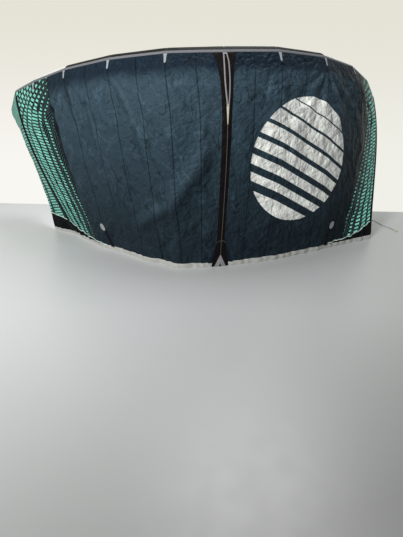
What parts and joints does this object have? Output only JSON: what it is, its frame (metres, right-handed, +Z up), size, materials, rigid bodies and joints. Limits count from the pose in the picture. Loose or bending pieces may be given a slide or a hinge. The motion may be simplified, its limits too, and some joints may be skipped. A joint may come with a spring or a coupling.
{
  "type": "kitesurf kite",
  "caption": "Inflatable kitesurf kite with a tapered leading-edge tube, one centre strut and a curved cloth canopy, standing on its trailing edge.",
  "frame": {"origin": "where the axis of the centre strut meets the floor, in the middle of the strut end cap's flat foot", "axes": "+Z up from the trailing edge to the leading edge, +X to the kite's right half, -Y out of the convex face of the canopy"},
  "size_m": [4.1445, 1.9837, 1.7331],
  "materials": {
    "black_dacron": "woven, satin",
    "white_dacron": "woven, satin",
    "bladder_film": "translucent film",
    "navy_ripstop": "crinkled ripstop",
    "mint_ripstop": "printed ripstop",
    "black_ripstop": "ripstop",
    "grey_dacron": "woven tape",
    "cream_dacron": "woven tape",
    "black_webbing": "webbing",
    "batten_plastic": "pultruded",
    "cap_rubber": "matte",
    "valve_white": "moulded",
    "valve_dark": "moulded",
    "pin_steel": "drawn",
    "cord_grey": "braided sheath",
    "knot_straw": "braided"
  },
  "bodies": {
    "kite": {"casing_left_1": "black_dacron", "casing_left_2": "black_dacron", "casing_left_3": "black_dacron", "casing_left_4": "white_dacron", "casing_left_5": "white_dacron", "casing_left_6": "white_dacron", "casing_right_1": "black_dacron", "casing_right_2": "black_dacron", "casing_right_3": "white_dacron", "casing_right_4": "white_dacron", "casing_right_5": "white_dacron", "casing_right_6": "white_dacron", "leading_edge_bladder": "bladder_film", "tip_closures": "white_dacron", "strut_casing": "black_dacron", "strut_bladder": "bladder_film", "strut_end_cap": "cap_rubber", "canopy_left_1": "navy_ripstop", "canopy_left_2": "navy_ripstop", "canopy_left_3": "navy_ripstop", "canopy_left_4": "navy_ripstop", "tip_panel_left_1": "mint_ripstop", "tip_panel_left_2": "mint_ripstop", "tip_panel_left_3": "mint_ripstop", "tip_wedge_left": "black_ripstop", "canopy_right_1": "navy_ripstop", "canopy_right_2": "navy_ripstop", "canopy_right_3": "navy_ripstop", "canopy_right_4": "navy_ripstop", "tip_panel_right_1": "mint_ripstop", "tip_panel_right_2": "mint_ripstop", "tip_panel_right_3": "mint_ripstop", "tip_wedge_right": "black_ripstop", "trailing_edge_band_left": "grey_dacron", "leading_edge_tape_left": "grey_dacron", "trailing_edge_band_right": "grey_dacron", "leading_edge_tape_right": "grey_dacron", "centre_strip": "black_ripstop", "centre_piping": "grey_dacron", "centre_dart": "cream_dacron", "trailing_edge_patch": "grey_dacron", "seam_tabs": "grey_dacron", "batten_pockets": "black_webbing", "trailing_edge_battens": "batten_plastic", "tip_batten_sleeves": "black_webbing", "tip_battens": "batten_plastic", "inflate_valve_base": "valve_white", "valve_hinge_pin": "pin_steel", "deflate_valve_base": "valve_white", "transfer_tube": "valve_white", "transfer_clamp": "valve_dark", "bridle_tabs": "black_webbing", "pigtail_anchors": "black_webbing", "pigtail_cord": "cord_grey", "pigtail_knot": "knot_straw"},
    "inflate_cap": {"inflate_valve_cap": "valve_dark"},
    "inflate_plunger": {"inflate_valve_plunger": "valve_dark"},
    "deflate_cap": {"deflate_valve_cap": "valve_dark"},
    "clamp_slide": {"clamp_slider": "valve_dark"}
  },
  "joints": [
    {"name": "inflate_cap_hinge", "type": "hinge", "parent": "kite", "child": "inflate_cap", "pos_m": [0.2164, 0.23439, 1.61548], "axis": [0.1165, -0.3251, -0.9385], "range_deg": [0, 110]},
    {"name": "inflate_plunger_slide", "type": "slide", "parent": "kite", "child": "inflate_plunger", "axis": [0.2762, -0.897, 0.345], "range_m": [0, 0.004], "stiffness_N_per_m": 40, "springref_m": -0.003},
    {"name": "deflate_cap_turn", "type": "hinge", "parent": "kite", "child": "deflate_cap", "pos_m": [-0.19703, 0.14673, 1.61437], "axis": [0.0269, 0.9378, -0.3463], "range_deg": [0, 90]},
    {"name": "clamp_slider_slide", "type": "slide", "parent": "kite", "child": "clamp_slide", "axis": [0.989, 0.1478, 0.01], "range_m": [0, 0.008]}
  ]
}
